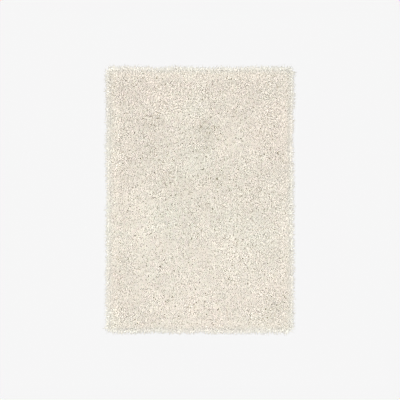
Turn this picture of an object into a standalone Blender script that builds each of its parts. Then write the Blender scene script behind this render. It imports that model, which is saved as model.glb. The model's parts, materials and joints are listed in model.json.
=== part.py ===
"""Shag rug lying flat: one lumpy slab of long cut pile, with locks of yarn fanned out round its rim.

Metres, +Z up. The rug lies on the floor at z = 0, centred on the origin, with its length along Y.
"""

import math
import random
from typing import NamedTuple

import bmesh
import bpy
from mathutils import Vector, noise

# Driving sizes
RUG_WIDTH = 1.700  # along X, between the tips of the longest locks
RUG_LENGTH = 2.400  # along Y, likewise
PILE_HEIGHT = 0.045  # from the floor to the highest tufts
LOCK_REACH = 0.036  # from the slab's side to the tips of the longest locks
LUMP_PITCH = 0.0345  # between neighbouring lumps of the pile, and between neighbouring locks

# The slab that the locks grow from
SLAB_WIDTH = RUG_WIDTH - 2 * LOCK_REACH
SLAB_LENGTH = RUG_LENGTH - 2 * LOCK_REACH
LUMPS_ACROSS = round(SLAB_WIDTH / LUMP_PITCH)
LUMPS_ALONG = round(SLAB_LENGTH / LUMP_PITCH)
LEAST_RADIUS = 0.008  # of the slab's own corners in plan
CORNER_FAN = 14  # the higher, the closer to the corners the locks keep their fanning out

# Relief of the pile
LUMP_DEPTH = 0.013  # between a tuft's top and the hollow beside it
SWELL_DEPTH = 0.004  # of the broad patches where the pile lies flatter
SWELL_SIZE = 0.30  # across such a patch
LUMP_STRAY = 0.24  # how far a lump strays from its even place, as a share of the pitch
PILE_SEED = 7

# Side of the slab, from the crown where the top starts down to the hem on the floor
CROWN_INSET = 0.026
CROWN_HEIGHT = 0.84 * PILE_HEIGHT
SHOULDER_INSET = 0.009
SHOULDER_HEIGHT = 0.64 * PILE_HEIGHT
ROOT_HEIGHT = 0.017  # top of the locks' roots
SIDE_STRAY = 0.003  # how unevenly the crown and the shoulder run

# One lock. Widths are shares of its root's width, heights of its root's height
MIDDLE_AT = 0.55  # share of the reach where the lock starts to taper
MIDDLE_WIDTH = 0.70
MIDDLE_HEIGHT = 0.80
TIP_WIDTH = 0.38
TIP_HEIGHT = 0.36
LEAST_REACH = 0.50  # of the shortest lock, as a share of the longest
FULL_REACH_EVERY = 4  # every so many locks, one has the full reach
BARE_EVERY = 13  # every so many places, one has no lock
TIP_DRIFT = 0.005  # how far a tip strays along the edge

PILE_COLOUR = (0.80, 0.745, 0.645, 1.0)


class Corner(NamedTuple):
    """A corner of the rug in plan, by the signs of its X and Y, and its radius round the locks' tips."""

    x_sign: int
    y_sign: int
    radius: float


class Dip(NamedTuple):
    """A stretch where one side of the rug draws in: its place along that side, its depth and its half-length."""

    side: str
    along: float
    depth: float
    reach: float


CORNERS = (
    Corner(x_sign=-1, y_sign=1, radius=0.042),
    Corner(x_sign=1, y_sign=1, radius=0.070),
    Corner(x_sign=1, y_sign=-1, radius=0.074),
    Corner(x_sign=-1, y_sign=-1, radius=0.040),
)

DIPS = (
    Dip(side="left", along=0.70, depth=0.005, reach=0.12),
    Dip(side="left", along=0.07, depth=0.006, reach=0.12),
    Dip(side="left", along=-0.57, depth=0.004, reach=0.10),
    Dip(side="right", along=0.76, depth=0.006, reach=0.10),
    Dip(side="right", along=0.47, depth=0.009, reach=0.22),
    Dip(side="right", along=0.05, depth=0.006, reach=0.14),
    Dip(side="right", along=-0.40, depth=0.003, reach=0.15),
    Dip(side="right", along=-1.07, depth=0.006, reach=0.08),
    Dip(side="back", along=-0.52, depth=0.004, reach=0.06),
    Dip(side="back", along=-0.38, depth=0.010, reach=0.07),
    Dip(side="back", along=0.05, depth=0.013, reach=0.08),
    Dip(side="back", along=0.31, depth=0.009, reach=0.10),
    Dip(side="front", along=-0.79, depth=0.004, reach=0.06),
    Dip(side="front", along=-0.40, depth=0.009, reach=0.08),
    Dip(side="front", along=0.03, depth=0.007, reach=0.09),
    Dip(side="front", along=0.54, depth=0.004, reach=0.08),
)

# Which way each side faces: the signs of X and Y
SIDES = {"left": (-1, 0), "right": (1, 0), "back": (0, 1), "front": (0, -1)}


def tip_radius(u, v):
    """The radius, round the locks' tips, of the corner nearest to this place."""
    signs = (-1 if u < 0 else 1, -1 if v < 0 else 1)
    return next(c.radius for c in CORNERS if (c.x_sign, c.y_sign) == signs)


def draw_in(point, u, v):
    """The point with the dips of the four sides taken off it; they fade out towards the rug's middle."""
    moved = point.copy()
    for dip in DIPS:
        x_sign, y_sign = SIDES[dip.side]
        nearness = max(0.0, u * x_sign + v * y_sign)
        along = point.y if x_sign else point.x
        share = (along - dip.along) / dip.reach
        depth = dip.depth * nearness**3 * math.exp(-share * share)
        moved -= Vector((x_sign, y_sign)) * depth
    return moved


def plan_point(u, v, inset):
    """A point in plan, where u and v run from -1 to 1 across a round-cornered outline that lies inset from
    the slab's side. An inset of -LOCK_REACH gives the line through the tips of the longest locks."""
    out_x = abs(u) * SLAB_WIDTH / 2 - abs(u) ** CORNER_FAN * inset
    out_y = abs(v) * SLAB_LENGTH / 2 - abs(v) ** CORNER_FAN * inset
    radius = max(tip_radius(u, v) - LOCK_REACH - inset, LEAST_RADIUS)
    centre_x = SLAB_WIDTH / 2 - inset - radius
    centre_y = SLAB_LENGTH / 2 - inset - radius
    past_x, past_y = out_x - centre_x, out_y - centre_y
    if past_x > 0 and past_y > 0:
        share = max(past_x, past_y) / math.hypot(past_x, past_y)
        out_x, out_y = centre_x + past_x * share, centre_y + past_y * share
    return draw_in(Vector((math.copysign(out_x, u), math.copysign(out_y, v))), u, v)


def grid_place(column, row):
    """The u and v of a place in the grid of lumps."""
    return 2 * column / LUMPS_ACROSS - 1, 2 * row / LUMPS_ALONG - 1


def rim_places():
    """The grid places round the border, anticlockwise from the front left corner."""
    front = [(i, 0) for i in range(LUMPS_ACROSS)]
    right = [(LUMPS_ACROSS, j) for j in range(LUMPS_ALONG)]
    back = [(i, LUMPS_ALONG) for i in range(LUMPS_ACROSS, 0, -1)]
    left = [(0, j) for j in range(LUMPS_ALONG, 0, -1)]
    return front + right + back + left


def lump_height(point, chance):
    """The pile's height at a lump: a random part for the tuft itself and a broad swell."""
    swell = noise.noise(Vector((point.x, point.y, 0)) / SWELL_SIZE) * SWELL_DEPTH
    lump = chance.uniform(-0.5, 0.5) * LUMP_DEPTH
    middle = PILE_HEIGHT - LUMP_DEPTH / 2
    return min(PILE_HEIGHT, middle + swell + lump)


def add_top(shape, chance):
    """The lumpy top, as vertices by grid place. Its border is the crown, where the sides start."""
    top = {}
    for row in range(LUMPS_ALONG + 1):
        for column in range(LUMPS_ACROSS + 1):
            u, v = grid_place(column, row)
            on_border = column in (0, LUMPS_ACROSS) or row in (0, LUMPS_ALONG)
            point = plan_point(u, v, CROWN_INSET)
            if on_border:
                height = CROWN_HEIGHT + chance.uniform(-SIDE_STRAY, SIDE_STRAY)
            else:
                stray = LUMP_STRAY * LUMP_PITCH
                point += Vector((chance.uniform(-stray, stray), chance.uniform(-stray, stray)))
                height = lump_height(point, chance)
            top[column, row] = shape.verts.new((*point, height))
    for row in range(LUMPS_ALONG):
        for column in range(LUMPS_ACROSS):
            corners = [(column, row), (column + 1, row), (column + 1, row + 1), (column, row + 1)]
            # Neighbouring squares are split along opposite diagonals, so that the lumps don't run one way
            turn = (column + row) % 2
            shape.faces.new([top[c] for c in corners[turn:] + corners[:turn]])
    return top


def add_ring(shape, places, inset, height, stray, chance):
    """A ring of vertices round the slab."""
    ring = []
    for place in places:
        off = chance.uniform(-stray, stray)
        point = plan_point(*grid_place(*place), inset + off)
        ring.append(shape.verts.new((*point, height - off)))
    return ring


def add_band(shape, upper, lower):
    """The faces between two rings of the same number of vertices."""
    for i in range(len(upper)):
        after = (i + 1) % len(upper)
        shape.faces.new((upper[i], lower[i], lower[after], upper[after]))


def section(shape, centre, across, width, height):
    """One cross-section of a lock, flat on the floor: two top corners, then two bottom ones."""
    half = across * (width / 2)
    return [
        shape.verts.new((*(centre - half), height)),
        shape.verts.new((*(centre + half), height)),
        shape.verts.new((*(centre + half), 0)),
        shape.verts.new((*(centre - half), 0)),
    ]


def add_lock(shape, root, tip, drift):
    """A lock of yarn lying on the floor. root is its four corners in the slab's side, and tip its end in plan."""
    left, right = root[0].co.xy, root[1].co.xy
    across = (right - left).normalized()
    width = (right - left).length
    start = (left + right) / 2
    middle = start.lerp(tip, MIDDLE_AT) + across * (drift * MIDDLE_AT)
    end = tip + across * drift
    sections = [
        root,
        section(shape, middle, across, width * MIDDLE_WIDTH, ROOT_HEIGHT * MIDDLE_HEIGHT),
        section(shape, end, across, width * TIP_WIDTH, ROOT_HEIGHT * TIP_HEIGHT),
    ]
    for near, far in zip(sections, sections[1:]):
        for i in range(4):
            after = (i + 1) % 4
            shape.faces.new((near[i], far[i], far[after], near[after]))
    shape.faces.new(sections[-1])


def add_locks(shape, places, eaves, hem, chance):
    """A lock on each stretch of the side between the eaves and the hem, or a plain face where one is left out."""
    for i, place in enumerate(places):
        after = (i + 1) % len(places)
        root = [eaves[i], eaves[after], hem[after], hem[i]]
        if i % BARE_EVERY == BARE_EVERY - 1:
            shape.faces.new(root)
            continue
        share = 1.0 if i % FULL_REACH_EVERY == 0 else chance.uniform(LEAST_REACH, 1.0)
        here, there = grid_place(*place), grid_place(*places[after])
        u, v = (here[0] + there[0]) / 2, (here[1] + there[1]) / 2
        tip = plan_point(u, v, -LOCK_REACH * share)
        add_lock(shape, root, tip, chance.uniform(-TIP_DRIFT, TIP_DRIFT))


def rug_mesh():
    """The whole rug as one closed mesh."""
    chance = random.Random(PILE_SEED)
    shape = bmesh.new()
    places = rim_places()
    top = add_top(shape, chance)
    crown = [top[place] for place in places]
    shoulder = add_ring(shape, places, SHOULDER_INSET, SHOULDER_HEIGHT, SIDE_STRAY, chance)
    eaves = add_ring(shape, places, 0.0, ROOT_HEIGHT, 0.0, chance)
    hem = add_ring(shape, places, 0.0, 0.0, 0.0, chance)
    add_band(shape, crown, shoulder)
    add_band(shape, shoulder, eaves)
    add_locks(shape, places, eaves, hem, chance)
    underside = shape.faces.new(hem)
    bmesh.ops.triangulate(shape, faces=[underside], ngon_method="BEAUTY")
    bmesh.ops.recalc_face_normals(shape, faces=shape.faces)
    mesh = bpy.data.meshes.new("shag_rug")
    shape.to_mesh(mesh)
    shape.free()
    mesh.shade_smooth()
    return mesh


def pile_material():
    """Cream yarn, dull and soft."""
    material = bpy.data.materials.new("cream_pile")
    material.use_nodes = True
    shader = material.node_tree.nodes["Principled BSDF"]
    shader.inputs["Base Color"].default_value = PILE_COLOUR
    shader.inputs["Roughness"].default_value = 0.95
    shader.inputs["Metallic"].default_value = 0.0
    return material


def clear_scene():
    for thing in list(bpy.data.objects):
        bpy.data.objects.remove(thing)


def main():
    clear_scene()
    mesh = rug_mesh()
    mesh.materials.append(pile_material())
    rug = bpy.data.objects.new("shag_rug", mesh)
    bpy.context.scene.collection.objects.link(rug)


if __name__ == "__main__":
    main()
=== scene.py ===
"""A cream shag rug: long twisted yarn tufted through a woven backing, lying flat on a pale floor.

Run as a script. Its settings and its makers are listed in the 3D view's sidebar, under Rug. Metres, +Z up.
"""

import json
import math
from typing import NamedTuple

import bmesh
import bpy
import numpy as np
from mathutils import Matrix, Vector

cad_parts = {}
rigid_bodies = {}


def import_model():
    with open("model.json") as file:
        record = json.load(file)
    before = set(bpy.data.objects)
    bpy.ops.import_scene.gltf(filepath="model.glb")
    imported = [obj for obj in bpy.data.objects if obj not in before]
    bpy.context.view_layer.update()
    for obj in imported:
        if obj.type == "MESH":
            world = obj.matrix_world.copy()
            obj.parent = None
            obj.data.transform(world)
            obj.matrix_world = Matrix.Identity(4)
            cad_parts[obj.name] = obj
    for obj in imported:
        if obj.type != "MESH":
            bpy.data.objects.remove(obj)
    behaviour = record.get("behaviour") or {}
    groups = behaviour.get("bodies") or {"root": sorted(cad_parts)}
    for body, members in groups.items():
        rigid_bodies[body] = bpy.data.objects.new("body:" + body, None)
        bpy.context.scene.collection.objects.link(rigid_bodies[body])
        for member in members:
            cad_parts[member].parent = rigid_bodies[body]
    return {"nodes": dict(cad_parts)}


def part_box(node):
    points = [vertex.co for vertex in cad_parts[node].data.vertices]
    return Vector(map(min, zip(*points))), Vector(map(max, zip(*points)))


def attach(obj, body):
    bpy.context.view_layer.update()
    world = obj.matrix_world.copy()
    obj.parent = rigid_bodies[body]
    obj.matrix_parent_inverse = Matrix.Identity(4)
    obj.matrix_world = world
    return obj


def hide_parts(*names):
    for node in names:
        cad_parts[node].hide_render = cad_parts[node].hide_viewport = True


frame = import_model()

bl_info = {
    "name": "Shag rug",
    "version": (1, 0, 0),
    "blender": (4, 5, 0),
    "location": "3D View > Sidebar > Rug",
    "description": "Makes a shag rug of tufted yarn round the solid of a plain one",
    "category": "Object",
}

SOLID = "shag_rug"
BODY = "root"
BAKE_MAP = "OFBake"  # the UV map that the yarn's colours can be baked into, a cell for each yarn

SOLID_LOW, SOLID_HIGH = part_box(SOLID)
RUG_WIDTH = SOLID_HIGH.x - SOLID_LOW.x
PILE_TOP = SOLID_HIGH.z
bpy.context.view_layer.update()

# The photograph's frame
FRAME_PIXELS = 400
RUG_PIXELS = 190.5  # across the rug there

# The bed, which is the sheet that the tufts stand in
BED_LEVEL = 0.5 * PILE_TOP  # the solid's faces above this height are over the bed
FUSE = 1e-5  # between points of the solid that are one point
LAYER_GAP = 0.0003  # between the backing and what lies on it
GROUND_HEIGHT = 0.42  # of the pile's dense lower part, as a share of the solid's height there
HEM_HEIGHT = 0.08  # the same at the bed's edge
GROUND_SLOPE = 0.35  # of the border's width, over which the ground rises from the hem to its full height
FLAT_WITHIN = math.radians(1)  # faces that turn less than this from one another are joined

# The tree's inputs that vary over the bed are attributes of these names
CROWN = "crown"  # the solid's height here
OUTWARD = "outward"  # the way out to the nearest edge
INSET = "inset"  # how far that edge is
WARM = "warm"  # from -1, where the cream is a little greener, to 1, where it is pinker
LOOSE = "loose"  # from -1, where the pile lies closed, to 1, where it stands open
PAINTED_LIGHT = "painted_light"  # painted light and shade: from -1, where the pile is painted darker from above, to 1, where it is painted lighter
KEPT_ATTRIBUTES = (
    "position", "along", "tone", "ply", "rim", "fringe", PAINTED_LIGHT, WARM, BAKE_MAP, "material_index", "sharp_face"
)


class YarnShape(NamedTuple):
    """How one yarn of a tuft bends, in degrees: its lean at the root and at the tip, and its turn sideways.

    end is the thickness of its cut end, as a share of the yarn's."""

    root_lean: float
    tip_lean: float
    curl: float
    end: float


# From the most upright to those that spread low over the floor round the rim
YARN_SHAPES = (
    YarnShape(0, 35, 35, 0.85),
    YarnShape(2, 48, -40, 0.85),
    YarnShape(4, 60, 50, 0.85),
    YarnShape(8, 72, -30, 0.85),
    YarnShape(14, 84, 45, 0.8),
    YarnShape(25, 98, -35, 0.7),
    YarnShape(42, 102, 30, 0.5),
    YarnShape(58, 106, -25, 0.4),
    YarnShape(72, 102, 20, 0.4),
)
YARN_SIDES = 3
LINE_STEPS = 24  # in working out a yarn's bent line
RING_SHARES = (0.45, 1.0)  # how far along the yarn its two cross-sections are, the last of them its cut end
CUT_END_AT = 0.92  # along the yarn's own map, which ends with the cut end

# How the tufts stand. Their leans are places in the row of yarn shapes
TRIES = 9.0  # in each square of the tuft spacing, for a place with room for a tuft
OPEN_DENSITY = 0.55  # share of the tufts that is left where the pile is most open
SWIRL_SIZE = 0.22  # of the broad swirls that draw the leans together
SWIRL_TURNS = 2  # over the whole range of the swirls' noise
SWIRL_PULL = 0.3  # beside a pull of 1 towards the tuft's own random way
OUTWARD_PULL = 2.2  # the same, at the rim
TUFT_LEANS = (0.3, 3.2)
LOOSE_RISE = 0.8  # how many shapes more upright the tufts of open places are
RIM_FALL = 3.6  # how many shapes flatter those at the rim are
RIM_FALL_POWER = 2.0  # over 1, so that most of this comes near the edge
TONES = (-0.5, 0.5)  # of a tuft, and of each yarn beside its tuft

# How the yarns of a tuft differ
BORDER_FROM = 0.06  # the rim value above which a tuft has its further yarns
RIM_STEADINESS = 0.5  # share of its straying that a yarn at the rim loses
SHAPE_STRAY = (-0.9, 0.9)  # in places along the row of yarn shapes
LENGTHS = (0.86, 1.08)  # as shares of the yarn length
CROWN_LENGTH = 0.6  # share of a yarn's length that follows the solid's height there
LEAST_LENGTH = 0.42  # share that it always has
CORNER_GROWTH = 0.2  # further length at the rim of a corner, as a share
RAGGED = 0.6  # share of its length that a yarn at the rim lacks at most
RIM_LIGHT_LIFT = 0.3  # added to the tone of a yarn at the rim, as painted light that lightens it towards the edge
FLOOR_CLEARANCE = 0.0008
FRINGE_BAND = (-0.04, 0.015)  # metres past the bed's edge, where the fringe value goes from 0 to 1
CELL_MARGIN = 0.04  # round a yarn in the map, as a share of its cell

# The random draws. Each has a seed of its own, from its place in this row
DRAWS = ("turn", "lean", "tuft tone", "aside", "ahead", "stray", "shape", "length", "own tone", "ragged")

# The yarn's colour, with its painted light and shade, and its finish
OUTER_BAND = (0.05, 0.65)  # along the yarn, where the root's painted shade gives way to the outer colour
PLY_TURNS = 3.0  # that the plies make from the root to the end
TONE_LIFT = 0.11  # how much lighter a tone of 1 makes the yarn, as a share
# how much the plies' crests are lightened and their grooves darkened, as painted light and shade
PLY_SHADE_LIFT = 0.05
# how much the broad patches of painted light and shade lighten or darken the yarn
PAINTED_LIGHT_LIFT = 0.045
RIM_SHADE_TINT = 0.6  # share of the rim's colour, darker as painted shade, at the edge
FRINGE_LIGHT_TINT = 0.9  # share of the fringe's paler colour past it, painted light on the thin ends
YARN_ROUGHNESS = 0.9
PLY_ROUGHNESS = 0.04
HUE_DRIFT = 0.3  # of the broad drifts, beside a WARM of 1
GREENER = (0.985, 1.0, 0.985, 1.0)
PINKER = (1.0, 0.977, 0.966, 1.0)

# The ground's and the backing's
BUNDLE_SIZE = 0.016  # of pressed yarns that lie side by side
GROUND_SHADE = 0.45  # of the root's painted shade colour, as painted shade in the ground's darkest places
LIGHT_HEM = 0.04  # how far in from its edge the ground is lighter, without its painted shade
FIBRE_SCALE = 300.0  # of the noise along a thread, in spots to the metre
FIBRE_RELIEF = 0.3  # beside a thread's relief of 1
THREAD_SHADE = 0.6  # of the thread colour, as painted shade between the threads

# Light and camera
KEY_TILT = math.radians(6)  # of the key light, from straight down
KEY_TURN = math.radians(35)  # of the side that it comes from, from the back towards the left
CAMERA_REACH = 100.0


class Patch(NamedTuple):
    """A round patch of the rug: its middle, its reach and how strong it is."""

    x: float
    y: float
    reach: float
    strength: float


# Where the pile stands open and shows dark gaps (positive), and where it lies closed (negative).
# The first patch and the value elsewhere only even out the contrast from the corners to the middle.
LOOSE_ELSEWHERE = -0.18
LOOSE_PATCHES = (
    Patch(0.00, 0.00, 0.80, 0.45),
    Patch(-0.42, 0.70, 0.10, 0.8),
    Patch(-0.45, 0.44, 0.10, 0.8),
    Patch(-0.29, 0.18, 0.12, 0.7),
    Patch(0.05, 0.62, 0.11, 0.9),
    Patch(0.06, 0.44, 0.08, 0.7),
    Patch(0.16, 0.20, 0.08, 0.6),
    Patch(-0.10, 0.05, 0.10, 0.4),
    Patch(0.40, 0.05, 0.12, 0.4),
    Patch(-0.09, -0.37, 0.07, 0.5),
    Patch(0.62, -1.02, 0.12, 0.8),
    Patch(0.78, 0.38, 0.09, 0.6),
    Patch(0.76, -0.89, 0.09, 0.5),
    Patch(-0.78, 0.95, 0.16, -0.9),
    Patch(-0.79, 0.60, 0.12, -0.9),
    Patch(-0.35, 1.00, 0.15, -0.9),
    Patch(0.68, 1.05, 0.16, -0.5),
    Patch(-0.72, -0.25, 0.14, -0.7),
    Patch(-0.52, -0.55, 0.20, -0.9),
    Patch(-0.12, -0.88, 0.12, -0.8),
    Patch(0.30, -0.75, 0.16, -0.7),
    Patch(0.79, -0.42, 0.10, -0.6),
    Patch(-0.30, -1.14, 0.25, -0.5),
)

# Where painted light makes the pile look lighter from above (positive) or painted shade makes it darker
# (negative). The first patch lifts the middle
PAINTED_LIGHT_PATCHES = (
    Patch(0.00, 0.00, 0.80, 0.12),
    Patch(-0.15, 0.80, 0.14, 1.0),
    Patch(-0.33, 0.90, 0.10, 0.5),
    Patch(-0.80, 0.65, 0.10, 1.0),
    Patch(-0.30, 0.33, 0.08, 0.6),
    Patch(-0.50, -0.12, 0.20, 0.8),
    Patch(-0.55, -0.42, 0.15, 0.7),
    Patch(-0.40, -0.90, 0.16, 0.7),
    Patch(-0.05, -0.92, 0.16, 0.7),
    Patch(0.05, -0.62, 0.16, 0.5),
    Patch(0.30, -0.45, 0.15, 0.6),
    Patch(0.25, 0.50, 0.10, 0.4),
    Patch(-0.75, 1.05, 0.12, -0.8),
    Patch(-0.43, 0.68, 0.08, -1.0),
    Patch(0.04, 0.60, 0.09, -1.0),
    Patch(-0.50, 0.42, 0.12, -0.5),
    Patch(0.74, 0.30, 0.15, -1.0),
    Patch(0.20, 0.22, 0.07, -0.5),
    Patch(0.57, -0.13, 0.11, -0.8),
    Patch(0.66, -1.00, 0.16, -0.6),
    Patch(-0.78, -0.66, 0.13, -0.8),
    Patch(0.68, 1.05, 0.13, -0.7),
    Patch(0.20, 0.95, 0.14, -0.3),
    Patch(0.72, -0.50, 0.10, -0.4),
    Patch(-0.12, -0.45, 0.08, -0.4),
)

# Where the cream is a little pinker (positive) or greener (negative)
WARM_PATCHES = (
    Patch(-0.55, 1.05, 0.40, 0.7),
    Patch(0.30, 1.10, 0.35, 0.5),
    Patch(0.74, 0.55, 0.26, 1.0),
    Patch(-0.78, 0.20, 0.22, 0.7),
    Patch(-0.78, -0.75, 0.22, 0.6),
    Patch(0.05, -1.12, 0.36, 0.6),
    Patch(0.74, -0.85, 0.20, 0.5),
    Patch(-0.06, 0.34, 0.16, -1.0),
    Patch(-0.31, -0.12, 0.16, -1.0),
    Patch(0.23, -0.18, 0.16, -0.9),
    Patch(0.49, -0.32, 0.15, -0.9),
    Patch(-0.04, 0.83, 0.12, -1.0),
)


# ---- settings


def length_setting(name, description, metres, low, high):
    """A property that holds a length in metres."""
    return bpy.props.FloatProperty(
        name=name,
        description=description,
        default=metres,
        min=low,
        max=high,
        precision=4,
        unit="LENGTH",
        subtype="DISTANCE",
    )


def colour_setting(name, description, colour):
    """A property that holds a linear colour."""
    return bpy.props.FloatVectorProperty(
        name=name, description=description, default=colour, size=3, min=0, max=1, subtype="COLOR"
    )


def number_setting(name, description, number, low, high):
    """A property that holds a plain number."""
    return bpy.props.FloatProperty(name=name, description=description, default=number, min=low, max=high)


def count_setting(name, description, count, low, high):
    """A property that holds a whole number."""
    return bpy.props.IntProperty(name=name, description=description, default=count, min=low, max=high)


def angle_setting(name, description, degrees):
    """A property that holds an angle of up to half a turn."""
    return bpy.props.FloatProperty(
        name=name,
        description=description,
        default=math.radians(degrees),
        min=0,
        max=math.pi,
        subtype="ANGLE",
        unit="ROTATION",
    )


class PileSettings(bpy.types.PropertyGroup):
    """Sizes and colours of the pile."""

    tuft_spacing: length_setting("Tuft spacing", "Least distance between two tufts", 0.0090, 0.008, 0.08)
    yarns_per_tuft: count_setting("Yarns per tuft", "Cut ends that stand in one tuft", 3, 1, 12)
    tuft_radius: length_setting("Tuft radius", "Reach of a tuft's roots round its middle", 0.003, 0, 0.02)
    yarn_length: length_setting("Yarn length", "From the root to the cut end", 0.046, 0.01, 0.12)
    yarn_thickness: length_setting("Yarn thickness", "Across one yarn at its thickest", 0.0066, 0.001, 0.02)
    straggle: angle_setting("Straggle", "How far a yarn strays from its tuft's lean, to either side", 150)
    rim_width: length_setting("Rim width", "Border where the pile turns outward", 0.085, 0.01, 0.2)
    rim_growth: number_setting("Rim growth", "Length of the outermost yarns, as a share", 1.3, 0.5, 2)
    rim_extra: count_setting("Rim extra", "Further yarns in each tuft of the border", 2, 0, 8)
    rim_slimness: number_setting("Rim slimness", "How much thinner the outermost yarns are", 0.3, 0, 0.9)
    edge_spacing: length_setting("Edge spacing", "Between tufts of the outermost row", 0.0065, 0.004, 0.05)
    strips: count_setting("Strips", "Lengthwise pieces that the pile is made in", 8, 1, 12)
    seed: bpy.props.IntProperty(name="Seed", description="Of the tufts' places and leans", default=11)
    colour: colour_setting("Yarn colour", "Of the yarn's outer ends", (0.877, 0.8405, 0.766))
    # Painted shade: the border's yarn, darker than the rest
    rim_shade_colour: colour_setting("Rim colour", "Of the yarn in the border", (0.83, 0.793, 0.71))
    # Painted light: the paler ends past the edge
    fringe_light_colour: colour_setting("Fringe colour", "Of the ends past the edge", (0.92, 0.907, 0.845))
    # Painted shade: the yarn's colour near its root, darker where shade falls among the roots
    root_shade_colour: colour_setting("Deep colour", "Of the yarn near its root", (0.68, 0.620, 0.455))


class BackingSettings(bpy.types.PropertyGroup):
    """Sizes and colour of the backing cloth."""

    thickness: length_setting("Thickness", "Of the backing cloth", 0.0022, 0.0005, 0.01)
    thread_pitch: length_setting("Thread pitch", "Between threads of the weave", 0.0035, 0.001, 0.02)
    colour: colour_setting("Thread colour", "Of the natural fibre", (0.55, 0.48, 0.36))


class StageSettings(bpy.types.PropertyGroup):
    """Floor, light and camera."""

    floor_size: length_setting("Floor size", "Side of the square floor", 120.0, 4, 400)
    floor_shade: number_setting("Floor shade", "Brightness of the lit floor", 0.922, 0, 1)
    floor_glow: number_setting("Floor glow", "Share of that which no shadow takes away", 0.70, 0, 1)
    sky: number_setting("Sky", "Brightness of the even light from all round", 0.52, 0, 4)
    key: number_setting("Key light", "Brightness that the key light adds to the floor", 0.90, 0, 4)
    key_softness: angle_setting("Key softness", "Angle that the key light fills", 20)
    lens: number_setting("Lens", "Focal length in millimetres", 85, 10, 300)


# ---- node trees


def set_inputs(tree, node, inputs):
    """Feeds a node. inputs maps a socket's name or number to a value or to the socket that feeds it."""
    for key, value in inputs.items():
        if isinstance(value, bpy.types.NodeSocket):
            tree.links.new(value, node.inputs[key])
        else:
            node.inputs[key].default_value = value


def add_node(tree, kind, inputs=None, **settings):
    """A new node, with its settings made before its inputs are fed."""
    node = tree.nodes.new(kind)
    for name, value in settings.items():
        setattr(node, name, value)
    set_inputs(tree, node, inputs or {})
    return node


def maths(tree, operation, *values):
    """The result of one step of arithmetic."""
    return add_node(tree, "ShaderNodeMath", dict(enumerate(values)), operation=operation).outputs[0]


def vector_maths(tree, operation, *values):
    """The result of one step of arithmetic on vectors."""
    return add_node(tree, "ShaderNodeVectorMath", dict(enumerate(values)), operation=operation).outputs[0]


def added(tree, first, second):
    """Two numbers added."""
    return maths(tree, "ADD", first, second)


def product(tree, first, second):
    """Two numbers multiplied."""
    return maths(tree, "MULTIPLY", first, second)


def less(tree, first, second):
    """The first number less the second."""
    return maths(tree, "SUBTRACT", first, second)


def times(tree, vector, factor):
    """The vector scaled by a number."""
    return add_node(tree, "ShaderNodeVectorMath", {0: vector, "Scale": factor}, operation="SCALE").outputs[0]


def combined(tree, x=0.0, y=0.0, z=0.0):
    """The vector of three numbers."""
    return add_node(tree, "ShaderNodeCombineXYZ", {0: x, 1: y, 2: z}).outputs[0]


def separated(tree, vector):
    """The three numbers of a vector."""
    return add_node(tree, "ShaderNodeSeparateXYZ", {0: vector}).outputs


def rescaled(tree, value, old_low, old_high, low, high):
    """value brought smoothly from one range to another, and kept inside it."""
    inputs = {"Value": value, "From Min": old_low, "From Max": old_high, "To Min": low, "To Max": high}
    return add_node(tree, "ShaderNodeMapRange", inputs, interpolation_type="SMOOTHSTEP").outputs[0]


def mixed_colour(tree, share, first, second, blend="MIX"):
    """Two colours mixed by a share."""
    node = add_node(tree, "ShaderNodeMix", data_type="RGBA", blend_type=blend)
    places = {socket.identifier: number for number, socket in enumerate(node.inputs)}
    values = {"Factor_Float": share, "A_Color": first, "B_Color": second}
    set_inputs(tree, node, {places[key]: value for key, value in values.items()})
    return next(s for s in node.outputs if s.identifier == "Result_Color")


def new_tree(name, kind, inputs, outputs):
    """An empty tree with its inputs and outputs, given as name to socket type, and its two end nodes."""
    tree = bpy.data.node_groups.new(name, kind)
    for socket_name, socket_type in inputs.items():
        tree.interface.new_socket(socket_name, in_out="INPUT", socket_type=socket_type)
    for socket_name, socket_type in outputs.items():
        tree.interface.new_socket(socket_name, in_out="OUTPUT", socket_type=socket_type)
    return tree, tree.nodes.new("NodeGroupInput").outputs, tree.nodes.new("NodeGroupOutput").inputs


# ---- bed


def patch_sum(patches, point, elsewhere=0.0):
    """What the patches add up to here, kept between -1 and 1. elsewhere is the sum far from them all."""
    total = elsewhere
    for patch in patches:
        away = math.hypot(point.x - patch.x, point.y - patch.y) / patch.reach
        total += patch.strength * math.exp(-away * away)
    return max(-1.0, min(1.0, total))


def edge_reading(shape):
    """For each point of the bed: how far its edge is, and the way there. On the edge it is the way off it."""
    points = np.array([vert.co.xy for vert in shape.verts])
    hem = [(a.index, b.index) for a, b in (edge.verts for edge in shape.edges if edge.is_boundary)]
    starts, ends = points[[a for a, _ in hem]], points[[b for _, b in hem]]
    spans = ends - starts
    share = ((points[:, None] - starts) * spans).sum(2) / (spans * spans).sum(1)
    nearest = starts + np.clip(share, 0, 1)[..., None] * spans
    gaps = np.linalg.norm(nearest - points[:, None], axis=2)
    best = gaps.argmin(1)
    rows = np.arange(len(points))
    distances = gaps[rows, best]
    ways = nearest[rows, best] - points
    off = np.stack([spans[:, 1], -spans[:, 0]], axis=1)
    off *= np.sign((off * (starts + ends)).sum(1))[:, None]  # the rug's middle is the origin
    off /= np.linalg.norm(off, axis=1)[:, None]
    edge_ways = np.zeros_like(points)
    for (a, b), way in zip(hem, off):
        edge_ways[a] += way
        edge_ways[b] += way
    on_edge = distances < FUSE
    ways[on_edge] = edge_ways[on_edge]
    return distances, ways / np.linalg.norm(ways, axis=1)[:, None]


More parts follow.
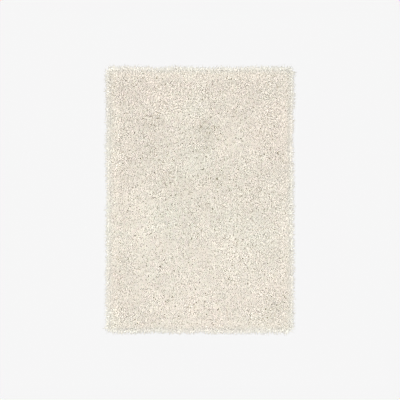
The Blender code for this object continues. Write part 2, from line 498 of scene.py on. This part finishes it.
def bed_mesh():
    """The flat sheet that the tufts stand in: the upper faces of the solid, laid down flat.

    Its attributes say how high the solid is there, where the edge is, how the pile lies, where it has painted
    light and shade, and where its cream is warmer."""
    shape = bmesh.new()
    shape.from_mesh(frame["nodes"][SOLID].data)
    bmesh.ops.remove_doubles(shape, verts=shape.verts, dist=FUSE)
    low = [face for face in shape.faces if min(v.co.z for v in face.verts) < BED_LEVEL]
    bmesh.ops.delete(shape, geom=low, context="FACES")
    shape.verts.index_update()
    distances, ways = edge_reading(shape)
    layers = {name: shape.verts.layers.float.new(name) for name in (CROWN, LOOSE, PAINTED_LIGHT, WARM, INSET)}
    outward = shape.verts.layers.float_vector.new(OUTWARD)
    for vert, distance, way in zip(shape.verts, distances, ways):
        vert[layers[CROWN]] = vert.co.z
        vert[layers[INSET]] = distance
        vert[outward] = (*way, 0)
        vert[layers[LOOSE]] = patch_sum(LOOSE_PATCHES, vert.co, LOOSE_ELSEWHERE)
        vert[layers[PAINTED_LIGHT]] = patch_sum(PAINTED_LIGHT_PATCHES, vert.co)
        vert[layers[WARM]] = patch_sum(WARM_PATCHES, vert.co)
        vert.co.z = 0
    mesh = bpy.data.meshes.new("bed")
    shape.to_mesh(mesh)
    shape.free()
    return mesh


# ---- pile


def yarn_direction(shape, share):
    """Which way the yarn runs at this share of its length."""
    lean = math.radians(shape.root_lean + (shape.tip_lean - shape.root_lean) * share)
    turn = math.radians(shape.curl) * (share - 0.5)
    return Vector((math.sin(lean) * math.cos(turn), math.sin(lean) * math.sin(turn), math.cos(lean)))


def yarn_point(shape, length, share):
    """A point on the yarn's middle line, which starts at the origin and leans along +X."""
    point = Vector((0, 0, 0))
    for step in range(LINE_STEPS):
        point += yarn_direction(shape, share * (step + 0.5) / LINE_STEPS) * (length * share / LINE_STEPS)
    return point


def ring_points(shape, share, length, thickness):
    """The corners of one cross-section of a yarn."""
    centre = yarn_point(shape, length, share)
    along = yarn_direction(shape, share)
    aside = Vector((0, 1, 0))
    upward = along.cross(aside).normalized()
    aside = upward.cross(along)
    points = []
    for side in range(YARN_SIDES):
        angle = 2 * math.pi * side / YARN_SIDES
        reach = thickness / 2 * (shape.end if share == RING_SHARES[-1] else 1.0)
        points.append(centre + (upward * math.cos(angle) + aside * math.sin(angle)) * reach)
    return points


def yarn_faces():
    """Faces of a yarn, as corner lists of (point, u, v). u runs round the yarn and v along it.

    Point 0 is the root and the rings follow. The last ring is closed by the cut end."""
    low, high = RING_SHARES[0], CUT_END_AT
    faces = []
    for side in range(YARN_SIDES):
        after = (side + 1) % YARN_SIDES
        left, right = side / YARN_SIDES, (side + 1) / YARN_SIDES
        near, near_after = 1 + side, 1 + after
        far, far_after = near + YARN_SIDES, near_after + YARN_SIDES
        faces.append([(0, (left + right) / 2, 0.0), (near, left, low), (near_after, right, low)])
        quad = [(near, left, low), (far, left, high), (far_after, right, high), (near_after, right, low)]
        faces.append(quad)
    end = 1 + YARN_SIDES
    faces.append([(end, 0.0, high), (end + 2, 0.5, 1.0), (end + 1, 1.0, high)])
    return faces


def yarn_mesh(name, shape, length, thickness):
    """One yarn as a closed mesh, with its place along the yarn and its own small UV map."""
    points = [yarn_point(shape, length, 0.0)]
    points += [p for share in RING_SHARES for p in ring_points(shape, share, length, thickness)]
    faces = yarn_faces()
    mesh = bpy.data.meshes.new(name)
    mesh.from_pydata(points, [], [[corner[0] for corner in face] for face in faces])
    along = mesh.attributes.new("along", "FLOAT", "POINT")
    shares = [0.0] + [share for share in RING_SHARES for _ in range(YARN_SIDES)]
    along.data.foreach_set("value", shares)
    uv_map = mesh.uv_layers.new(name=BAKE_MAP)
    uv_map.data.foreach_set("uv", [n for face in faces for corner in face for n in corner[1:]])
    mesh.shade_smooth()
    mesh.polygons[-1].use_smooth = False
    return mesh


def yarn_collection(length, thickness):
    """The bent yarns that the tufts are made of, in a collection that isn't in the scene."""
    collection = bpy.data.collections.new("yarn_shapes")
    for number, shape in enumerate(YARN_SHAPES):
        name = f"yarn_{number}"
        collection.objects.link(bpy.data.objects.new(name, yarn_mesh(name, shape, length, thickness)))
    return collection


def random_value(tree, draw, limits, seed):
    """A random number for each element. draw is one of DRAWS."""
    inputs = {2: limits[0], 3: limits[1], "Seed": added(tree, seed, DRAWS.index(draw) + 1)}
    return add_node(tree, "FunctionNodeRandomValue", inputs, data_type="FLOAT").outputs[1]


def stored(tree, geometry, name, value, kind="FLOAT", domain="POINT"):
    """The geometry with a value kept on it under a name."""
    inputs = {"Geometry": geometry, "Name": name, "Value": value}
    node = add_node(tree, "GeometryNodeStoreNamedAttribute", inputs, data_type=kind, domain=domain)
    return node.outputs[0]


def named(tree, name, kind="FLOAT"):
    """The value kept under a name."""
    return add_node(tree, "GeometryNodeInputNamedAttribute", {"Name": name}, data_type=kind).outputs[0]


def place_of(tree):
    """Where the element is."""
    return add_node(tree, "GeometryNodeInputPosition").outputs[0]


def index_of(tree):
    """The element's number."""
    return add_node(tree, "GeometryNodeInputIndex").outputs[0]


def level_way(tree, angle):
    """The level way that lies at this angle."""
    return combined(tree, maths(tree, "COSINE", angle), maths(tree, "SINE", angle))


def moved(tree, geometry, offset):
    """The geometry with each of its points moved."""
    return add_node(tree, "GeometryNodeSetPosition", {"Geometry": geometry, "Offset": offset}).outputs[0]


# The tree's inputs that are settings of the pile, as numbers and as whole numbers
NUMBERS = (
    "Tuft spacing", "Tuft radius", "Straggle", "Rim width", "Rim growth", "Rim slimness", "Edge spacing"
)
COUNTS = ("Yarns per tuft", "Rim extra", "Strips", "Seed")
PILE_INPUTS = {
    "Bed": "NodeSocketGeometry",
    **dict.fromkeys((*NUMBERS, "Root height"), "NodeSocketFloat"),
    **dict.fromkeys((*COUNTS, "Strip"), "NodeSocketInt"),
    "Yarn shapes": "NodeSocketCollection",
    "Material": "NodeSocketMaterial",
}


def tuft_points(tree, given):
    """One point for each tuft of the strip: a row along the bed's edge, and as many inside as have room."""
    per_area = maths(tree, "DIVIDE", TRIES, maths(tree, "POWER", given["Tuft spacing"], 2.0))
    scatter = add_node(
        tree,
        "GeometryNodeDistributePointsOnFaces",
        {
            "Mesh": given["Bed"],
            "Distance Min": given["Tuft spacing"],
            "Density Max": per_area,
            "Density Factor": rescaled(tree, named(tree, LOOSE), 0.0, 1.0, 1.0, OPEN_DENSITY),
            "Seed": given["Seed"],
        },
        distribute_method="POISSON",
    )
    beside = add_node(tree, "GeometryNodeInputMeshEdgeNeighbors").outputs[0]
    on_edge = add_node(tree, "FunctionNodeCompare", {2: beside, 3: 1}, data_type="INT", operation="EQUAL")
    hem = add_node(tree, "GeometryNodeMeshToCurve", {0: given["Bed"], 1: on_edge.outputs[0]}).outputs[0]
    spacing = {0: hem, "Length": given["Edge spacing"]}
    row = add_node(tree, "GeometryNodeCurveToPoints", spacing, mode="LENGTH").outputs[0]
    both = add_node(tree, "GeometryNodeJoinGeometry", {0: scatter.outputs["Points"]})
    tree.links.new(row, both.inputs[0])
    tufts = add_node(tree, "GeometryNodeSetID", {0: both.outputs[0], "ID": index_of(tree)}).outputs[0]
    strip = maths(tree, "DIVIDE", less(tree, separated(tree, place_of(tree))[0], SOLID_LOW.x), RUG_WIDTH)
    strip = maths(tree, "FLOOR", product(tree, strip, given["Strips"]))
    off = maths(tree, "ABSOLUTE", less(tree, strip, given["Strip"]))
    others = {"Geometry": tufts, "Selection": maths(tree, "GREATER_THAN", off, 0.5)}
    return add_node(tree, "GeometryNodeDeleteGeometry", others, domain="POINT").outputs[0]


def leaning_tufts(tree, given, tufts):
    """Gives each tuft its way and its lean: at random, drawn together by swirls, and outward at the rim."""
    seed = given["Seed"]
    rim = rescaled(tree, named(tree, INSET), 0.0, given["Rim width"], 1.0, 0.0)
    outward = vector_maths(tree, "NORMALIZE", named(tree, OUTWARD, "FLOAT_VECTOR"))
    own = level_way(tree, random_value(tree, "turn", (-math.pi, math.pi), seed))
    noise = {"Vector": place_of(tree), "Scale": 1 / SWIRL_SIZE, "Detail": 1.0}
    swirl = add_node(tree, "ShaderNodeTexNoise", noise).outputs[0]
    shared = level_way(tree, product(tree, swirl, 2 * SWIRL_TURNS * math.pi))
    way = vector_maths(tree, "ADD", own, times(tree, shared, SWIRL_PULL))
    way = times(tree, way, less(tree, 1.0, rim))
    way = vector_maths(tree, "ADD", way, times(tree, outward, product(tree, rim, OUTWARD_PULL)))
    parts = separated(tree, way)
    lean = random_value(tree, "lean", TUFT_LEANS, seed)
    lean = less(tree, lean, product(tree, named(tree, LOOSE), LOOSE_RISE))
    lean = added(tree, lean, product(tree, maths(tree, "POWER", rim, RIM_FALL_POWER), RIM_FALL))
    tufts = stored(tree, tufts, "rim", rim)
    tufts = stored(tree, tufts, "heading", maths(tree, "ARCTAN2", parts[1], parts[0]))
    tufts = stored(tree, tufts, "lean", lean)
    return stored(tree, tufts, "tuft_tone", random_value(tree, "tuft tone", TONES, seed))


def yarn_size(tree, given):
    """A yarn's length as a share: greater on the lumps and at the rim, where it is also more ragged."""
    seed, rim = given["Seed"], named(tree, "rim")
    height = maths(tree, "DIVIDE", named(tree, CROWN), PILE_TOP)
    height = added(tree, product(tree, height, CROWN_LENGTH), LEAST_LENGTH)
    ways = separated(tree, named(tree, OUTWARD, "FLOAT_VECTOR"))
    slant = maths(tree, "POWER", product(tree, product(tree, ways[0], ways[1]), 2.0), 2.0)
    growth = product(tree, given["Rim growth"], added(tree, product(tree, slant, CORNER_GROWTH), 1.0))
    height = add_node(tree, "ShaderNodeMix", {0: rim, 2: height, 3: growth}).outputs[0]
    size = product(tree, random_value(tree, "length", LENGTHS, seed), height)
    lack = product(tree, random_value(tree, "ragged", (0.0, RAGGED), seed), rim)
    return product(tree, size, less(tree, 1.0, lack))


def yarn_points(tree, given, tufts):
    """A point for each yarn of each tuft, with its way, size, shape and tone. The border has more of them."""
    seed, rim = given["Seed"], named(tree, "rim")
    more = maths(tree, "GREATER_THAN", rim, BORDER_FROM)
    amount = added(tree, given["Yarns per tuft"], product(tree, more, given["Rim extra"]))
    copies = {"Geometry": tufts, "Amount": amount}
    yarns = add_node(tree, "GeometryNodeDuplicateElements", copies, domain="POINT").outputs[0]
    aside = random_value(tree, "aside", (-1.0, 1.0), seed)
    ahead = random_value(tree, "ahead", (-1.0, 1.0), seed)
    offset = times(tree, combined(tree, aside, ahead), given["Tuft radius"])
    yarns = moved(tree, yarns, vector_maths(tree, "ADD", offset, combined(tree, z=given["Root height"])))
    steady = less(tree, 1.0, product(tree, rim, RIM_STEADINESS))
    stray = product(tree, random_value(tree, "stray", (-1.0, 1.0), seed), given["Straggle"])
    heading = added(tree, named(tree, "heading"), product(tree, stray, steady))
    shape = added(tree, named(tree, "lean"), random_value(tree, "shape", SHAPE_STRAY, seed))
    limits = {0: shape, 1: 0.0, 2: float(len(YARN_SHAPES) - 1)}
    shape = add_node(tree, "ShaderNodeClamp", limits).outputs[0]
    tone = added(tree, named(tree, "tuft_tone"), random_value(tree, "own tone", TONES, seed))
    # Painted light: the tone is raised towards the edge
    yarns = stored(tree, yarns, "tone", added(tree, tone, product(tree, rim, RIM_LIGHT_LIFT)))
    yarns = stored(tree, yarns, "way", heading)
    yarns = stored(tree, yarns, "size", yarn_size(tree, given))
    yarns = stored(tree, yarns, "shape", maths(tree, "ROUND", shape))
    yarns = stored(tree, yarns, "number", index_of(tree))
    return stored(tree, yarns, "root", place_of(tree), "FLOAT_VECTOR")


def bent_yarns(tree, given, yarns):
    """A bent yarn on each point, turned and sized, and none of them under the floor."""
    kinds = {"Collection": given["Yarn shapes"], "Separate Children": True, "Reset Children": True}
    shapes = add_node(tree, "GeometryNodeCollectionInfo", kinds).outputs[0]
    turn = {"Axis": (0, 0, 1), "Angle": named(tree, "way")}
    size = named(tree, "size")
    slim = less(tree, 1.0, product(tree, named(tree, "rim"), given["Rim slimness"]))
    slim = product(tree, slim, size)
    placed = add_node(
        tree,
        "GeometryNodeInstanceOnPoints",
        {
            "Points": yarns,
            "Instance": shapes,
            "Pick Instance": True,
            "Instance Index": named(tree, "shape"),
            "Rotation": add_node(tree, "FunctionNodeAxisAngleToRotation", turn).outputs[0],
            "Scale": combined(tree, size, slim, slim),
        },
    )
    pile = add_node(tree, "GeometryNodeRealizeInstances", {0: placed.outputs[0]}).outputs[0]
    lift = less(tree, FLOOR_CLEARANCE, separated(tree, place_of(tree))[2])
    return moved(tree, pile, combined(tree, z=maths(tree, "MAXIMUM", lift, 0.0)))


def with_fringe(tree, pile):
    """Keeps how far out each point is, from 0 well inside the bed's edge to 1 past it."""
    beside = vector_maths(tree, "SUBTRACT", place_of(tree), named(tree, "root", "FLOAT_VECTOR"))
    pair = {0: beside, 1: named(tree, OUTWARD, "FLOAT_VECTOR")}
    toward = add_node(tree, "ShaderNodeVectorMath", pair, operation="DOT_PRODUCT").outputs["Value"]
    past = less(tree, toward, named(tree, INSET))
    return stored(tree, pile, "fringe", rescaled(tree, past, *FRINGE_BAND, 0.0, 1.0))


def with_map_cells(tree, pile, count):
    """Keeps each yarn's own map as its plies, and gives the yarn a cell to itself in the shared map."""
    own_map, number = named(tree, BAKE_MAP, "FLOAT_VECTOR"), named(tree, "number")
    pile = stored(tree, pile, "ply", own_map, "FLOAT2", "CORNER")
    side = maths(tree, "CEIL", maths(tree, "SQRT", count))
    column = maths(tree, "MODULO", number, side)
    row = maths(tree, "FLOOR", maths(tree, "DIVIDE", added(tree, number, 0.5), side))
    inside = times(tree, own_map, 1 - 2 * CELL_MARGIN)
    inside = vector_maths(tree, "ADD", inside, (CELL_MARGIN, CELL_MARGIN, 0.0))
    spot = vector_maths(tree, "ADD", combined(tree, column, row), inside)
    spot = times(tree, spot, maths(tree, "DIVIDE", 1.0, side))
    return stored(tree, pile, BAKE_MAP, spot, "FLOAT2", "CORNER")


def pile_tree():
    """Tufts over the bed, each a bunch of bent yarns that share a lean, and lean outward near the edge."""
    outputs = {"Pile": "NodeSocketGeometry"}
    tree, given, result = new_tree("shag_pile", "GeometryNodeTree", PILE_INPUTS, outputs)
    yarns = yarn_points(tree, given, leaning_tufts(tree, given, tuft_points(tree, given)))
    count = add_node(tree, "GeometryNodeAttributeDomainSize", {0: yarns}, component="POINTCLOUD").outputs[0]
    pile = with_fringe(tree, bent_yarns(tree, given, yarns))
    coloured = {"Geometry": with_map_cells(tree, pile, count), "Material": given["Material"]}
    pile = add_node(tree, "GeometryNodeSetMaterial", coloured).outputs[0]
    tree.links.new(pile, result["Pile"])
    return tree


def grown(name, tree, mesh, values):
    """The mesh that a Geometry Nodes tree makes from another mesh, as an object at the origin."""
    source = bpy.data.objects.new(name + "_source", mesh)
    bpy.context.scene.collection.objects.link(source)
    modifier = source.modifiers.new("nodes", "NODES")
    modifier.node_group = tree
    sockets = {s.name: s.identifier for s in tree.interface.items_tree if s.in_out == "INPUT"}
    for socket_name, value in values.items():
        modifier[sockets[socket_name]] = value
    graph = bpy.context.evaluated_depsgraph_get()
    made = bpy.data.meshes.new_from_object(source.evaluated_get(graph), depsgraph=graph)
    bpy.data.objects.remove(source)
    made.name = name
    for slot in reversed(range(len(made.materials))):
        if made.materials[slot] is None:
            made.materials.pop(index=slot)
    for attribute in list(made.attributes):
        if attribute.name not in KEPT_ATTRIBUTES and not attribute.name.startswith("."):
            made.attributes.remove(attribute)
    piece = bpy.data.objects.new(name, made)
    bpy.context.scene.collection.objects.link(piece)
    return piece


class MakePile(bpy.types.Operator):
    """Grow the pile over the bed, in lengthwise strips"""

    bl_idname = "rug.make_pile"
    bl_label = "Pile"

    def execute(self, context):
        pile = context.scene.rug_pile
        shapes = yarn_collection(pile.yarn_length, pile.yarn_thickness)
        tree = pile_tree()
        bed = bed_mesh()
        values = {name: getattr(pile, name.lower().replace(" ", "_")) for name in (*NUMBERS, *COUNTS)}
        values["Root height"] = context.scene.rug_backing.thickness + LAYER_GAP
        values["Yarn shapes"] = shapes
        values["Material"] = yarn_material(pile)
        for strip in range(pile.strips):
            piece = grown(f"pile_{strip + 1}", tree, bed, {**values, "Strip": strip})
            finish_piece(piece)
            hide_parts(SOLID)
        for shape in list(shapes.objects):
            bpy.data.objects.remove(shape)
        bpy.data.collections.remove(shapes)
        return {"FINISHED"}


# ---- ground


def new_piece(name, shape, material):
    """A shape as an object at the origin, in one material."""
    mesh = bpy.data.meshes.new(name)
    shape.to_mesh(mesh)
    shape.free()
    mesh.materials.append(material)
    piece = bpy.data.objects.new(name, mesh)
    bpy.context.scene.collection.objects.link(piece)
    return piece


class MakeGround(bpy.types.Operator):
    """Make the dense ground of the pile, where the tufts' roots stand"""

    bl_idname = "rug.make_ground"
    bl_label = "Ground of the pile"

    def execute(self, context):
        pile = context.scene.rug_pile
        underside = context.scene.rug_backing.thickness + LAYER_GAP
        shape = bmesh.new()
        shape.from_mesh(bed_mesh())
        crown = shape.verts.layers.float[CROWN]
        inset = shape.verts.layers.float[INSET]
        slope_width = GROUND_SLOPE * pile.rim_width
        for vert in shape.verts:
            inward = min(1.0, vert[inset] / slope_width)
            share = HEM_HEIGHT + (GROUND_HEIGHT - HEM_HEIGHT) * inward * inward * (3 - 2 * inward)
            vert.co.z = underside + share * vert[crown]
        hem = [e for e in shape.edges if e.is_boundary]
        wall = bmesh.ops.extrude_edge_only(shape, edges=hem)["geom"]
        for vert in (g for g in wall if isinstance(g, bmesh.types.BMVert)):
            vert.co.z = underside
        bmesh.ops.holes_fill(shape, edges=[e for e in shape.edges if e.is_boundary])
        bmesh.ops.triangulate(shape, faces=[f for f in shape.faces if len(f.verts) > 4])
        bmesh.ops.recalc_face_normals(shape, faces=shape.faces)
        piece = new_piece("ground", shape, ground_material(pile))
        piece.data.shade_smooth()
        finish_piece(piece)
        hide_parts(SOLID)
        return {"FINISHED"}


# ---- backing


class MakeBacking(bpy.types.Operator):
    """Make the woven cloth under the pile"""

    bl_idname = "rug.make_backing"
    bl_label = "Backing cloth"

    def execute(self, context):
        backing = context.scene.rug_backing
        shape = bmesh.new()
        shape.from_mesh(bed_mesh())
        bmesh.ops.dissolve_limit(
            shape, angle_limit=FLAT_WITHIN, verts=shape.verts, edges=shape.edges, delimit=set()
        )
        piece = new_piece("backing", shape, backing_material(backing))
        solidify(piece, backing.thickness)
        finish_piece(piece)
        return {"FINISHED"}


def solidify(piece, thickness):
    """Gives a flat sheet its thickness, upward from the floor."""
    modifier = piece.modifiers.new("thickness", "SOLIDIFY")
    modifier.thickness = thickness
    modifier.offset = 1
    graph = bpy.context.evaluated_depsgraph_get()
    made = bpy.data.meshes.new_from_object(piece.evaluated_get(graph), depsgraph=graph)
    piece.modifiers.clear()
    piece.data = made


def finish_piece(piece):
    """Ties a piece to the rug's one body."""
    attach(piece, BODY)


# ---- materials


def new_material(name):
    """A material with a Principled BSDF and its output. Returns the material, its tree and the shader."""
    material = bpy.data.materials.new(name)
    material.use_nodes = True
    tree = material.node_tree
    return material, tree, tree.nodes["Principled BSDF"]


def group_of(name, maker):
    """The shader group of this name, made if it isn't there yet."""
    return bpy.data.node_groups.get(name) or maker()


def kept(tree, name, output="Fac"):
    """A value that the mesh keeps under this name."""
    return add_node(tree, "ShaderNodeAttribute", attribute_name=name).outputs[output]


def object_place(tree):
    """Where on the rug the surface is."""
    return add_node(tree, "ShaderNodeTexCoord").outputs["Object"]


def drifted(tree, colour):
    """The colour with the dye's faint drifts."""
    inputs = {"Place": object_place(tree), "Warm": kept(tree, WARM), "Colour": colour}
    drift = add_node(tree, "ShaderNodeGroup", inputs, node_tree=group_of("dye_drift", drift_group))
    return drift.outputs["Colour"]


def finish_shader(tree, shader, colour, relief, roughness, specular):
    """Feeds a shader its colour and finish. relief is a height, how strong it is and how deep in metres."""
    bump = add_node(tree, "ShaderNodeBump", dict(zip(("Height", "Strength", "Distance"), relief)))
    looks = {"Base Color": colour, "Normal": bump.outputs[0]}
    set_inputs(tree, shader, {**looks, "Roughness": roughness, "Specular IOR Level": specular})


def drift_group():
    """Broad, faint changes of hue over the rug, shared by the yarn and the ground."""
    inputs = {"Place": "NodeSocketVector", "Warm": "NodeSocketFloat", "Colour": "NodeSocketColor"}
    tree, given, result = new_tree("dye_drift", "ShaderNodeTree", inputs, {"Colour": "NodeSocketColor"})
    warm = add_node(tree, "ShaderNodeTexNoise", {"Vector": given["Place"], "Scale": 7.0, "Detail": 2.0})
    share = added(tree, rescaled(tree, warm.outputs[0], 0.3, 0.7, -HUE_DRIFT, HUE_DRIFT), given["Warm"])
    share = rescaled(tree, share, -1 - HUE_DRIFT, 1 + HUE_DRIFT, 0.0, 1.0)
    tint = mixed_colour(tree, share, GREENER, PINKER)
    tree.links.new(mixed_colour(tree, 1.0, given["Colour"], tint, "MULTIPLY"), result["Colour"])
    return tree


def yarn_material(pile):
    """Cream twisted yarn, each yarn and tuft a little different, with its two plies. Painted shade darkens it
    towards the root, in the grooves between the plies and in the border; painted light lightens the crests of
    the plies and the ends past the edge; broad patches of painted light and shade lie over it.
    """
    material, tree, shader = new_material("cream_yarn")
    # Painted shade: darker towards the root
    past_root_shade = rescaled(tree, kept(tree, "along"), *OUTER_BAND, 0.0, 1.0)
    colour = mixed_colour(tree, past_root_shade, (*pile.root_shade_colour, 1), (*pile.colour, 1))
    plies = separated(tree, kept(tree, "ply", "Vector"))
    turned = added(tree, plies[0], product(tree, plies[1], PLY_TURNS))
    ply = maths(tree, "SINE", product(tree, turned, 2 * math.pi))
    level = product(tree, kept(tree, "tone"), TONE_LIFT)
    # Painted light and shade of the plies' crests and grooves
    level = added(tree, level, product(tree, ply, PLY_SHADE_LIFT))
    # Painted light and shade of the broad patches
    level = added(tree, level, product(tree, kept(tree, PAINTED_LIGHT), PAINTED_LIGHT_LIFT))
    level = added(tree, level, 1.0)
    grey = add_node(tree, "ShaderNodeCombineColor", {0: level, 1: level, 2: level}).outputs[0]
    colour = mixed_colour(tree, 1.0, colour, grey, "MULTIPLY")
    # Painted shade in the border
    colour = mixed_colour(tree, product(tree, kept(tree, "rim"), RIM_SHADE_TINT), colour, (*pile.rim_shade_colour, 1))
    # Painted light: paler ends past the edge
    fringe = product(tree, kept(tree, "fringe"), FRINGE_LIGHT_TINT)
    colour = mixed_colour(tree, fringe, colour, (*pile.fringe_light_colour, 1))
    rough = added(tree, product(tree, ply, PLY_ROUGHNESS), YARN_ROUGHNESS)
    finish_shader(tree, shader, drifted(tree, colour), (ply, 0.35, 0.0004), rough, 0.2)
    set_inputs(tree, shader, {"Sheen Weight": 0.15, "Sheen Roughness": 0.5})
    return material


def strands_group():
    """Strands side by side in crossing bundles: their relief, and a number for each bundle, from 0 to 1."""
    inputs = {"Place": "NodeSocketVector"}
    inputs |= dict.fromkeys(("Bundle size", "Strand width"), "NodeSocketFloat")
    outputs = {"Height": "NodeSocketFloat", "Chance": "NodeSocketFloat"}
    tree, given, result = new_tree("crossing_strands", "ShaderNodeTree", inputs, outputs)
    cells = {"Vector": given["Place"], "Scale": maths(tree, "DIVIDE", 1.0, given["Bundle size"])}
    bundle = add_node(tree, "ShaderNodeTexVoronoi", cells, voronoi_dimensions="2D", feature="F1").outputs
    parts = separated(tree, vector_maths(tree, "SUBTRACT", given["Place"], bundle["Position"]))
    chances = add_node(tree, "ShaderNodeSeparateColor", {0: bundle["Color"]}).outputs
    angle = product(tree, chances[0], math.pi)
    aside = product(tree, parts[0], maths(tree, "SINE", angle))
    aside = less(tree, aside, product(tree, parts[1], maths(tree, "COSINE", angle)))
    turn = product(tree, maths(tree, "DIVIDE", aside, given["Strand width"]), math.pi)
    strand = maths(tree, "ABSOLUTE", maths(tree, "COSINE", turn))
    bulge = rescaled(tree, bundle["Distance"], 0.2, 0.8, 1.0, 0.25)
    tree.links.new(product(tree, strand, bulge), result["Height"])
    tree.links.new(chances[1], result["Chance"])
    return tree


def ground_material(pile):
    """The lower yarns of the pile, pressed together, with their shade painted into the colour: darker between
    the strands and in some bundles, and lighter near the hem.
    """
    material, tree, shader = new_material("pile_ground")
    sizes = {"Place": object_place(tree), "Bundle size": BUNDLE_SIZE, "Strand width": pile.yarn_thickness}
    group = group_of("crossing_strands", strands_group)
    strands = add_node(tree, "ShaderNodeGroup", sizes, node_tree=group).outputs
    # Painted shade: the ground's darkest colour
    low = [GROUND_SHADE * c for c in pile.root_shade_colour]
    level = rescaled(tree, strands["Chance"], 0.0, 0.4, 0.05, 0.9)
    level = product(tree, level, rescaled(tree, strands["Height"], 0.0, 1.0, 0.4, 1.0))
    # No painted shade near the hem
    level = maths(tree, "MAXIMUM", level, rescaled(tree, kept(tree, INSET), 0.0, LIGHT_HEM, 1.0, 0.0))
    colour = mixed_colour(tree, level, (*low, 1), (*pile.colour, 1))
    finish_shader(tree, shader, drifted(tree, colour), (strands["Height"], 0.8, 0.004), 1.0, 0.1)
    return material


def backing_material(backing):
    """Plain-woven natural fibre, with painted shade where the threads dip."""
    material, tree, shader = new_material("woven_backing")
    place = object_place(tree)
    parts = separated(tree, times(tree, place, math.pi / backing.thread_pitch))
    warp, weft = (maths(tree, "SINE", parts[number]) for number in (0, 1))
    on_top = maths(tree, "GREATER_THAN", product(tree, warp, weft), 0.0)
    heights = {0: on_top, 2: maths(tree, "ABSOLUTE", warp), 3: maths(tree, "ABSOLUTE", weft)}
    height = add_node(tree, "ShaderNodeMix", heights).outputs[0]
    noise = {"Vector": place, "Scale": FIBRE_SCALE, "Detail": 2.0}
    fibre = add_node(tree, "ShaderNodeTexNoise", noise).outputs[0]
    height = added(tree, height, product(tree, fibre, FIBRE_RELIEF))
    # Painted shade between the threads
    painted_thread_shade = [THREAD_SHADE * c for c in backing.colour]
    colour = mixed_colour(tree, rescaled(tree, height, 0.1, 1.1, 0.0, 1.0), (*painted_thread_shade, 1), (*backing.colour, 1))
    finish_shader(tree, shader, colour, (height, 0.7, 0.0008), 0.95, 0.15)
    return material


# ---- stage


class MakeStage(bpy.types.Operator):
    """Lay the floor, hang the lights and set the camera"""

    bl_idname = "rug.make_stage"
    bl_label = "Floor, light and camera"

    def execute(self, context):
        stage = context.scene.rug_stage
        make_floor(context.scene, stage)
        make_light(context.scene, stage)
        make_camera(context.scene, stage)
        return {"FINISHED"}


def make_floor(scene, stage):
    """A level floor, pale and even, that shows only a faint shadow."""
    half = stage.floor_size / 2
    mesh = bpy.data.meshes.new("floor")
    corners = [(-half, -half, 0), (half, -half, 0), (half, half, 0), (-half, half, 0)]
    mesh.from_pydata(corners, [], [(0, 1, 2, 3)])
    floor = bpy.data.objects.new("floor", mesh)
    scene.collection.objects.link(floor)
    material, tree, shader = new_material("pale_floor")
    lit = stage.floor_shade * (1 - stage.floor_glow) / (stage.sky + stage.key)
    looks = {"Base Color": (lit, lit, lit, 1), "Roughness": 1.0, "Specular IOR Level": 0.0}
    glow = {"Emission Color": (1, 1, 1, 1), "Emission Strength": stage.floor_shade * stage.floor_glow}
    set_inputs(tree, shader, {**looks, **glow})
    mesh.materials.append(material)


def make_light(scene, stage):
    """An even sky all round and one broad key light from the back left."""
    world = bpy.data.worlds.new("studio")
    world.use_nodes = True
    tree = world.node_tree
    lighting = tree.nodes["Background"]
    set_inputs(tree, lighting, {"Color": (1, 1, 1, 1), "Strength": stage.sky})
    backdrop = add_node(tree, "ShaderNodeBackground", {"Color": (1, 1, 1, 1), "Strength": stage.floor_shade})
    seen = add_node(tree, "ShaderNodeLightPath").outputs["Is Camera Ray"]
    both = add_node(tree, "ShaderNodeMixShader", {0: seen, 1: lighting.outputs[0], 2: backdrop.outputs[0]})
    tree.links.new(both.outputs[0], tree.nodes["World Output"].inputs["Surface"])
    scene.world = world
    light = bpy.data.lights.new("key", "SUN")
    light.energy = stage.key * math.pi / math.cos(KEY_TILT)
    light.angle = stage.key_softness
    key = bpy.data.objects.new("key", light)
    key.rotation_euler = (-KEY_TILT, 0, KEY_TURN)
    scene.collection.objects.link(key)


def make_camera(scene, stage):
    """Straight above the rug, as far off as frames it like the photograph."""
    camera = bpy.data.cameras.new("camera")
    camera.lens = stage.lens
    camera.clip_end = CAMERA_REACH
    framed = RUG_WIDTH * FRAME_PIXELS / RUG_PIXELS
    eye = bpy.data.objects.new("camera", camera)
    eye.location = (0, 0, framed / 2 / math.tan(camera.angle / 2))
    scene.collection.objects.link(eye)
    scene.camera = eye
    scene.view_settings.view_transform = "Standard"
    scene.cycles.denoising_prefilter = "NONE"  # keeps the grain of the pile
    scene.cycles.denoising_quality = "FAST"  # keeps it even from edge to middle
    scene.cycles.pixel_filter_type = "BOX"  # a pixel takes in its own square alone, as a sensor's does


# ---- panel and run


OPERATORS = (MakeStage, MakeGround, MakePile, MakeBacking)
SETTINGS = {"rug_pile": PileSettings, "rug_backing": BackingSettings, "rug_stage": StageSettings}


class RugPanel(bpy.types.Panel):
    """Lists the rug's settings and makers"""

    bl_idname = "VIEW3D_PT_shag_rug"
    bl_label = "Shag rug"
    bl_space_type = "VIEW_3D"
    bl_region_type = "UI"
    bl_category = "Rug"

    def draw(self, context):
        for name, group in SETTINGS.items():
            box = self.layout.box()
            for setting in group.__annotations__:
                box.prop(getattr(context.scene, name), setting)
        for operator in OPERATORS:
            self.layout.operator(operator.bl_idname)


def register():
    """Registers the settings, the makers and the panel, and gives each scene its settings."""
    for cls in (*SETTINGS.values(), *OPERATORS, RugPanel):
        bpy.utils.register_class(cls)
    for name, group in SETTINGS.items():
        setattr(bpy.types.Scene, name, bpy.props.PointerProperty(type=group))


def unregister():
    """Undoes register."""
    for name in SETTINGS:
        delattr(bpy.types.Scene, name)
    for cls in (RugPanel, *OPERATORS, *SETTINGS.values()):
        bpy.utils.unregister_class(cls)


def main():
    """Makes the stage and the rug."""
    register()
    bpy.ops.rug.make_stage()
    bpy.ops.rug.make_ground()
    bpy.ops.rug.make_pile()
    bpy.ops.rug.make_backing()


if __name__ == "__main__":
    main()
